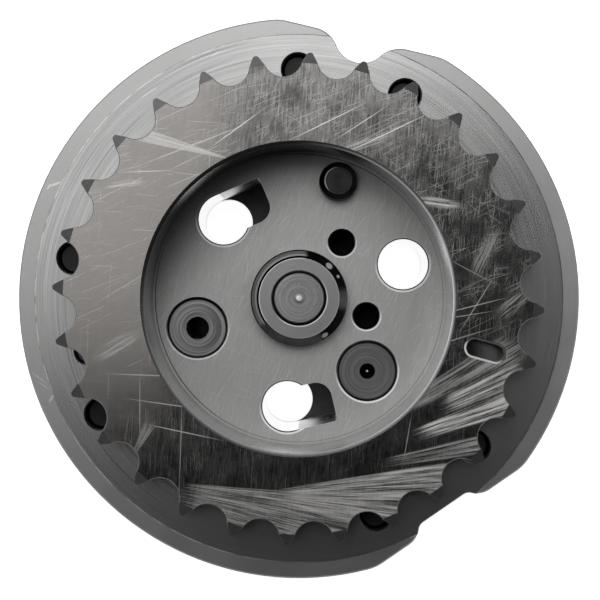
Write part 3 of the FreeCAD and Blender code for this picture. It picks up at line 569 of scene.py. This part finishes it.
def rotor_material():
    """Ground rotor face with fine hairlines, a glossy boss, and bores with smooth walls."""
    g = Graph("rotor_steel_ground")
    radius, outward = g.polar()
    fine = g.noise(g.place, 2.4, 4.0, 0.6)
    cloud = g.noise(g.place, 0.09, 3.0)
    hair = g.streaks(66.0, 5.0, 0.11, 0.30, 0.72, 11.0, 3.0)
    cross = g.streaks(84.0, 4.0, 0.13, 0.35, 0.72, 12.0, 3.0)
    marks = g.most(
        g.times(g.scratches(58.0, 4.0, 0.9, 0.07, 16.0, 0.4, 13.0), 0.45),
        g.times(g.scratches(-12.0, 5.0, 2.2, 0.07, 14.0, 0.5, 14.0), 0.30),
        g.times(g.scratches(78.0, 5.0, 1.4, 0.07, 10.0, 0.4, 15.0), 0.35),
    )
    up = g.upward()
    wall = g.upright(0.35, 0.15)
    floor = g.times(up, g.smooth(g.z, ROTOR_FLOOR - 0.5, ROTOR_FLOOR - 0.1))
    boss = g.smooth(radius, BOSS_RADIUS + 0.3, BOSS_RADIUS - 0.3)
    boss = g.times(boss, g.smooth(g.z, ROTOR_FLOOR, ROTOR_FLOOR + 0.4))
    top = g.times(boss, up)
    turned = g.rings(radius, outward, 0.16, 1.5, 3.0)
    seam = g.around(radius, SEAT_RADIUS + 0.05, 0.16, 0.06)
    level = g.smooth(g.z, ROTOR_FLOOR - 0.36, ROTOR_FLOOR - 0.30)
    near = None
    feed = None
    rim = None
    for circle, angle, size, bright in ROUND_MOUTHS:
        x, y = spot(circle, angle)
        away, direction = g.polar(x, y)
        if size == BOLT_HOLE_RADIUS:
            near = away if near is None else g.math("MINIMUM", near, away)
        if size == FEED_RADIUS:
            feed = away if feed is None else g.math("MINIMUM", feed, away)
        # a painted highlight on each mouth's chamfer, on its lower side
        ring = g.around(away, bright, 0.21, 0.11)
        lit_lower_side = g.facing(direction, (0.25, -0.97, 0.0), -0.5, 0.4)
        ring = g.times(ring, g.mix(lit_lower_side, 0.05, 1.0))
        rim = ring if rim is None else g.most(rim, ring)
    # painted shade: the walls of the feed holes, below the floor, painted near black
    inside = g.times(
        g.smooth(feed, FEED_RADIUS + 0.04, FEED_RADIUS),
        g.smooth(g.z, ROTOR_FLOOR, ROTOR_FLOOR - 0.3),
    )
    through = g.times(g.smooth(near, BOLT_HOLE_RADIUS + 0.15, BOLT_HOLE_RADIUS + 0.05), wall)
    edge = g.edges(0.12)
    tint = g.blend(g.mix(0.45, hair, cross), (0.365, 0.362, 0.358), (0.475, 0.471, 0.466))
    tint = g.blend(marks, tint, 0.75)
    # painted shade: faces below the floor level, such as the pocket bottoms, painted near black
    tint = g.blend(floor, g.blend(fine, 0.05, 0.09), tint)
    tint = g.blend(wall, tint, g.blend(fine, 0.20, 0.30))
    tint = g.blend(boss, tint, g.blend(turned, 0.34, 0.46))
    tint = g.blend(top, tint, g.blend(turned, 0.30, 0.42))
    # painted shadow on the floor toward the shaded way, near the recess wall
    painted_shade = g.facing(g.place, SHADED_WAY, 12.0, 27.0)
    tint = g.blend(g.times(painted_shade, floor, 0.88), tint, 0.09)
    # the seat's seam, a dark joint line of its own, painted darker on the upper-left side as
    # shade
    soft = g.facing(outward, (0.8, -0.6, 0.0), -0.3, 0.4, 1.0, 0.5)
    tint = g.blend(g.times(seam, floor, soft), tint, 0.03)
    tint = g.blend(g.times(edge, 0.5), tint, 0.90)
    # the painted highlights of the rims
    tint = g.blend(g.times(rim, level, 0.92), tint, 1.0)
    tint = g.blend(g.times(wall, g.smooth(near, 8.2, 5.0)), tint, 0.92)
    tint = g.blend(through, tint, g.blend(g.smooth(g.z, 2.4, 3.4), 0.10, 0.86))
    tint = g.blend(inside, tint, 0.012)

    # the boss's chamfer: grey, with a painted highlight arc at the upper left and painted glints,
    # and painted shade elsewhere
    slope = g.times(boss, g.smooth(radius, BOSS_EDGE - 0.02, BOSS_EDGE + 0.04))
    right = g.facing(outward, (0.64, 0.77, 0.0), 0.70, 0.85)
    below = g.facing(outward, (0.80, -0.60, 0.0), 0.88, 0.95)
    toward = g.facing(outward, (-0.85, 0.53, 0.0), 0.30, 0.45)
    away = g.math("ABSOLUTE", g.math("SUBTRACT", radius, BOSS_EDGE + 0.62))
    arc = g.times(toward, g.smooth(away, 0.24, 0.14))
    outer = g.times(
        toward,
        g.smooth(radius, BOSS_EDGE + 0.75, BOSS_EDGE + 0.85),
        g.smooth(radius, BOSS_RADIUS - 0.15, BOSS_RADIUS - 0.3),
    )
    glint = None
    for angle, circle, length, width in BOSS_GLINTS:
        here = g.patch(*spot(circle, angle), angle + 90.0, length, width, 0.3)
        glint = here if glint is None else g.most(glint, here)
    lit = g.times(slope, g.most(g.times(arc, 0.8), g.times(outer, 0.45), glint))
    # painted highlights: a thin light line round the boss's top, strongest toward the upper left,
    # and one round the bore's mouth on its lower-right side
    outline = g.math("ABSOLUTE", g.math("SUBTRACT", radius, BOSS_EDGE - 0.03))
    outline = g.times(boss, g.smooth(outline, 0.10, 0.04), g.most(g.times(toward, 0.9), 0.25))
    # painted shade: the bore round the plug painted near black
    mouth = g.times(boss, g.smooth(radius, SPOOL_BORE + 0.40, SPOOL_BORE + 0.30))
    ring = g.math("ABSOLUTE", g.math("SUBTRACT", radius, SPOOL_BORE + 0.50))
    low = g.facing(outward, (0.6, -0.8, 0.0), -0.2, 0.5)
    outline = g.most(outline, g.times(boss, low, g.smooth(ring, 0.12, 0.05), 0.9))
    shade = g.times(g.most(toward, right, below), g.math("SUBTRACT", 1.0, lit))
    tint = g.blend(g.times(slope, 0.6), tint, 0.62)
    tint = g.blend(g.times(slope, shade), tint, 0.05)
    tint = g.blend(lit, tint, 0.55)
    tint = g.blend(mouth, tint, 0.012)
    tint = g.blend(outline, tint, 0.95)
    painted_highlight = g.most(g.times(lit, 0.8), outline, g.times(rim, level, 0.9))
    rough = g.mix(floor, g.mix(fine, 0.38, 0.50), g.mix(cloud, 0.42, 0.50))
    rough = g.mix(boss, rough, g.mix(turned, 0.12, 0.20))
    rough = g.mix(top, rough, g.mix(turned, 0.26, 0.34))
    rough = g.mix(through, rough, 0.07)
    rough = g.mix(g.most(lit, outline, g.times(rim, level, 0.8)), rough, 0.60)
    relief = g.mix(boss, g.add(g.times(hair, 0.5), g.times(fine, 0.3)), g.times(turned, 0.15))
    return g.finish(tint, rough, g.bump(relief, 0.004), painted_highlight)


def turned_material(name, x, y, dark, light, pitch, roughness, hole=0.0, rim=(0.0, 0.0)):
    """A small turned end, with tool lines round its own axis at x, y. It is painted dark as
    shade within the radius of its hole, and beyond that of its rim, which is given with its
    softness."""
    g = Graph(name)
    radius, outward = g.polar(x, y)
    lines = g.rings(radius, outward, pitch, 0.35, 2.0)
    wide = g.rings(radius, outward, pitch * 4, 0.25, 1.0)
    fine = g.noise(g.place, 3.0, 3.0, 0.6)
    edge = g.edges(0.12)
    contrast = g.smooth(g.mix(0.5, lines, wide), 0.40, 0.60)
    tint = g.blend(contrast, dark, light)
    tint = g.blend(g.times(edge, 0.5), tint, 0.6)
    # painted shade in the hole, and in the gap beyond the rim
    if hole:
        tint = g.blend(g.smooth(radius, hole + 0.05, hole - 0.10), tint, 0.012)
        tint = g.blend(g.smooth(radius, 0.32, 0.14), tint, 0.5 if hole < 2 else 0.012)
    rough = g.mix(fine, *roughness)
    painted_highlight = None
    if name.startswith("centre_plug"):
        # painted highlights: the centre drill's bright cone, and the chamfer painted as light as
        # the face
        drill = g.smooth(radius, 0.62, 0.45)
        chamfer = g.smooth(radius, 4.28, 4.36)
        tint = g.blend(drill, tint, 0.95)
        tint = g.blend(chamfer, tint, 0.62)
        rough = g.mix(g.most(drill, chamfer), rough, 0.55)
    if name.startswith("dowel_pin"):
        # a painted highlight: a light crescent on the edge of its top, on its left side
        left = g.facing(outward, (-0.95, 0.3, 0.0), 0.3, 0.9)
        crescent = g.around(radius, 2.50, 0.16, 0.06)
        painted_highlight = g.times(crescent, left, g.smooth(g.z, ROTOR_FLOOR + 3.0, ROTOR_FLOOR + 3.4))
        tint = g.blend(painted_highlight, tint, 0.60)
    if rim[0]:
        tint = g.blend(g.smooth(radius, rim[0] - rim[1], rim[0] + rim[1]), tint, 0.012)
    return g.finish(tint, rough, g.bump(contrast, 0.002), painted_highlight)


def bolt_material():
    """Black-oxide bolt steel, with a thread's relief on its wall and lighter edges."""
    g = Graph("bolt_steel_black")
    fine = g.noise(g.place, 2.5, 4.0, 0.6)
    thread = g.noise(g.join(0.0, 0.0, g.math("DIVIDE", g.z, 0.35)), 1.0, 1.0)
    wall = g.math("SUBTRACT", 1.0, g.upright(0.2, 0.6))
    edge = g.edges(0.15)
    tint = g.blend(fine, 0.018, 0.045)
    tint = g.blend(g.times(edge, 0.35), tint, 0.4)
    rough = g.mix(fine, 0.36, 0.50)
    return g.finish(tint, rough, g.bump(g.times(wall, thread), 0.03))


def spring_material():
    """Drawn spring wire, with faint die lines."""
    g = Graph("spring_wire_drawn")
    fine = g.noise(g.place, 5.0, 3.0, 0.6)
    cloud = g.noise(g.place, 0.6, 2.0)
    tint = g.blend(fine, (0.36, 0.355, 0.35), (0.58, 0.575, 0.57))
    return g.finish(tint, g.mix(cloud, 0.22, 0.38), g.bump(fine, 0.004))


def seal_material():
    """Moulded dark plastic of the seal strips, with fibre flecks."""
    g = Graph("seal_plastic_moulded", metallic=0.0)
    fleck = g.noise(g.vector("MULTIPLY", g.place, (3.0, 3.0, 0.5)), 1.5, 3.0, 0.6)
    tint = g.blend(fleck, (0.018, 0.017, 0.016), (0.06, 0.056, 0.052))
    return g.finish(tint, g.mix(fleck, 0.42, 0.58), g.bump(fleck, 0.006))


def wear(node, material):
    """Gives a CAD node its finished material."""
    slots = nodes[node].data.materials
    slots.clear()
    slots.append(material)


def centre(node):
    """Middle of a CAD node in mm."""
    low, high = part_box(node)
    return tuple((low + high) / 2 / MM)


plain = sintered_material()
springs = spring_material()
plastic = seal_material()
rotor_steel = rotor_material()

wear("sprocket", sprocket_material())
wear("cover_plate", plate_material())
wear("vane_housing", plain)
wear("far_cover", plain)
wear("rotor", rotor_steel)
wear("housing_bolts", bolt_material())

TURNED = {
    "locating_pin": (0.04, 0.09, 0.25, (0.30, 0.42)),
    "dowel_pin": (0.025, 0.045, 0.5, (0.22, 0.30)),
    "centre_plug": (0.29, 0.42, 0.16, (0.24, 0.34)),
    "pilot_plug": (0.14, 0.36, 0.14, (0.24, 0.36)),
    "check_valve_plug": (0.18, 0.26, 0.20, (0.26, 0.38)),
    "check_valve_seat": (0.20, 0.34, 0.20, (0.26, 0.38)),
    "lock_pin_cap": (0.22, 0.38, 0.20, (0.26, 0.38)),
    "lock_pin": (0.30, 0.46, 0.20, (0.20, 0.32)),
    "lock_pin_seat": (0.26, 0.40, 0.20, (0.22, 0.34)),
    "spool": (0.34, 0.50, 0.20, (0.16, 0.26)),
    "spool_ring": (0.12, 0.22, 0.25, (0.30, 0.42)),
    "pilot_piston": (0.30, 0.46, 0.18, (0.20, 0.32)),
    "check_valve_ball": (0.45, 0.60, 0.40, (0.08, 0.14)),
}
# radius in mm of the hole in a turned end, painted dark as shade, and of its rim beyond which it
# is painted dark as shade, with its softness
HOLES = {"pilot_plug": 2.16, "pilot_piston": 2.6, "check_valve_plug": 1.45}
RIMS = {"pilot_plug": (5.28, 0.05), "check_valve_plug": (5.22, 0.14), "centre_plug": (4.60, 0.05)}

for node, (dark, light, pitch, roughness) in TURNED.items():
    x, y, _ = centre(node)
    hole = HOLES.get(node, 0.0)
    rim = RIMS.get(node, (0.0, 0.0))
    wear(node, turned_material(node + "_turned", x, y, dark, light, pitch, roughness, hole, rim))

for node in nodes:
    if node.endswith("_spring") or "_seal_spring_" in node:
        wear(node, springs)
    elif "_seal_" in node:
        wear(node, plastic)


# --------------------------------------------------------------- coil springs
# spring: its joint, the joint's travel in mm, and whether its upper end is the fixed one
COILS = {
    "spool_spring": ("spool_slide", 3.0, True),
    "pilot_spring": ("pilot_piston_slide", 3.0, True),
    "check_valve_spring": ("check_ball_slide", 1.2, True),
    "lock_pin_spring": ("lock_pin_slide", 2.5, False),
}


def coil(node, joint, travel, held_above):
    """A copy of the spring's mesh, joined to the rotor in place of the hidden CAD node."""
    rigid = nodes[node]
    made = bpy.data.objects.new(node + "_coil", rigid.data.copy())
    bpy.context.scene.collection.objects.link(made)
    made.matrix_world = rigid.matrix_world.copy()
    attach(made, "rotor")
    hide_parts(node)
    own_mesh(made)


for node, facts in COILS.items():
    coil(node, *facts)


# ------------------------------------------------------------ floor and lights
FLOOR_GLOW = 0.92
FLOOR_RADIUS = 6.0
FLOOR_DROP = 0.02
LAMP_HEIGHT = 1.03


def two(tree, operation, first, second):
    """Maths on two values, each a number or a socket."""
    made = tree.nodes.new("ShaderNodeMath")
    made.operation = operation
    for socket, value in zip(made.inputs, (first, second)):
        if isinstance(value, bpy.types.NodeSocket):
            tree.links.new(value, socket)
        else:
            socket.default_value = value
    return made.outputs[0]


def ramp(tree, value, low, high, start, end):
    """Smooth step of a value."""
    made = tree.nodes.new("ShaderNodeMapRange")
    made.interpolation_type = "SMOOTHSTEP"
    for name, number in (
        ("From Min", low), ("From Max", high), ("To Min", start), ("To Max", end)
    ):
        made.inputs[name].default_value = number
    tree.links.new(value, made.inputs["Value"])
    return made.outputs["Result"]


def floor_material():
    """White floor that keeps a faint shadow."""
    made = bpy.data.materials.new("floor_white")
    made.use_nodes = True
    tree = made.node_tree
    shader = tree.nodes["Principled BSDF"]
    shader.inputs["Base Color"].default_value = (0.8, 0.8, 0.8, 1)
    shader.inputs["Roughness"].default_value = 0.9
    shader.inputs["Emission Color"].default_value = (1, 1, 1, 1)
    rays = tree.nodes.new("ShaderNodeLightPath")
    seen = two(tree, "MAXIMUM", rays.outputs["Is Camera Ray"], rays.outputs["Is Glossy Ray"])
    seen = two(tree, "MAXIMUM", seen, rays.outputs["Is Transmission Ray"])
    glow = two(tree, "MULTIPLY", seen, FLOOR_GLOW)
    tree.links.new(glow, shader.inputs["Emission Strength"])
    return made


def disc(name, radius, sides=96):
    """A flat round mesh on the floor's plane."""
    turns = [2 * math.pi * i / sides for i in range(sides)]
    points = [(radius * math.cos(turn), radius * math.sin(turn), 0.0) for turn in turns]
    mesh = bpy.data.meshes.new(name)
    mesh.from_pydata(points, [], [list(range(sides))])
    made = bpy.data.objects.new(name, mesh)
    bpy.context.scene.collection.objects.link(made)
    return made


floor = disc("floor", FLOOR_RADIUS)
floor.location.z = -FLOOR_DROP * MM
floor.data.materials.append(floor_material())


def lamp(name, place, width, height, radiance):
    """An area lamp of this size in m and this bright, which the camera doesn't see."""
    light = bpy.data.lights.new(name, "AREA")
    light.shape = "RECTANGLE"
    light.size, light.size_y = width, height
    light.energy = radiance * math.pi * width * height
    made = bpy.data.objects.new(name, light)
    made.location = place
    made.visible_camera = False
    bpy.context.scene.collection.objects.link(made)
    return made


def softbox(name, left, right, near, far, radiance):
    """A level lamp over the part, between these x and y in m."""
    place = ((left + right) / 2, (near + far) / 2, LAMP_HEIGHT)
    lamp(name, place, right - left, far - near, radiance)


def aimed(name, place, width, height, radiance):
    """A lamp that faces the part from the side."""
    made = lamp(name, place, width, height, radiance)
    made.rotation_euler = Vector(place).to_track_quat("Z", "Y").to_euler()


softbox("lamp_left", -1.00, -0.06, -0.04, 0.60, 1.12)
softbox("lamp_top", -0.22, 0.16, 0.15, 1.00, 2.35)
softbox("lamp_right", 0.36, 1.00, -0.06, 0.70, 2.05)
aimed("lamp_low", (-0.46, 0.80, 0.77), 0.85, 0.85, 2.2)


def world():
    """A studio dome: dark overhead, bright toward the horizon on the side of the lamps."""
    made = bpy.data.worlds.new("studio")
    bpy.context.scene.world = made
    made.use_nodes = True
    tree = made.node_tree
    back = tree.nodes["Background"]
    place = tree.nodes.new("ShaderNodeTexCoord").outputs["Generated"]
    apart = tree.nodes.new("ShaderNodeSeparateXYZ")
    tree.links.new(place, apart.inputs[0])
    toward = tree.nodes.new("ShaderNodeVectorMath")
    toward.operation = "DOT_PRODUCT"
    toward.inputs[1].default_value = (-0.55, 0.83, 0.0)
    tree.links.new(place, toward.inputs[0])
    side = ramp(tree, toward.outputs["Value"], -0.9, 0.9, 0.18, 0.9)
    rise = ramp(tree, apart.outputs[2], 0.05, 0.60, 1.0, 0.03)
    level = two(tree, "MULTIPLY", side, rise)
    grey = tree.nodes.new("ShaderNodeCombineColor")
    for socket in grey.inputs:
        tree.links.new(level, socket)
    tree.links.new(grey.outputs[0], back.inputs["Color"])
    back.inputs["Strength"].default_value = 1.0


world()

# ---------------------------------------------------------------------- camera
# Place in m, lens and sensor in mm, and shift of the frame
CAMERA_PLACE = (0.00283, 0.00265, 0.331)
FOCAL_LENGTH = 98.54
SENSOR_WIDTH = 36.0
FRAME_SHIFT = (-0.024, -0.027)

lens = bpy.data.cameras.new("camera")
lens.sensor_width = SENSOR_WIDTH
lens.lens = FOCAL_LENGTH
lens.shift_x, lens.shift_y = FRAME_SHIFT
lens.clip_start = 0.01
lens.clip_end = 20.0
camera = bpy.data.objects.new("camera", lens)
camera.location = CAMERA_PLACE
bpy.context.scene.collection.objects.link(camera)
bpy.context.scene.camera = camera
bpy.context.scene.view_settings.view_transform = "Standard"
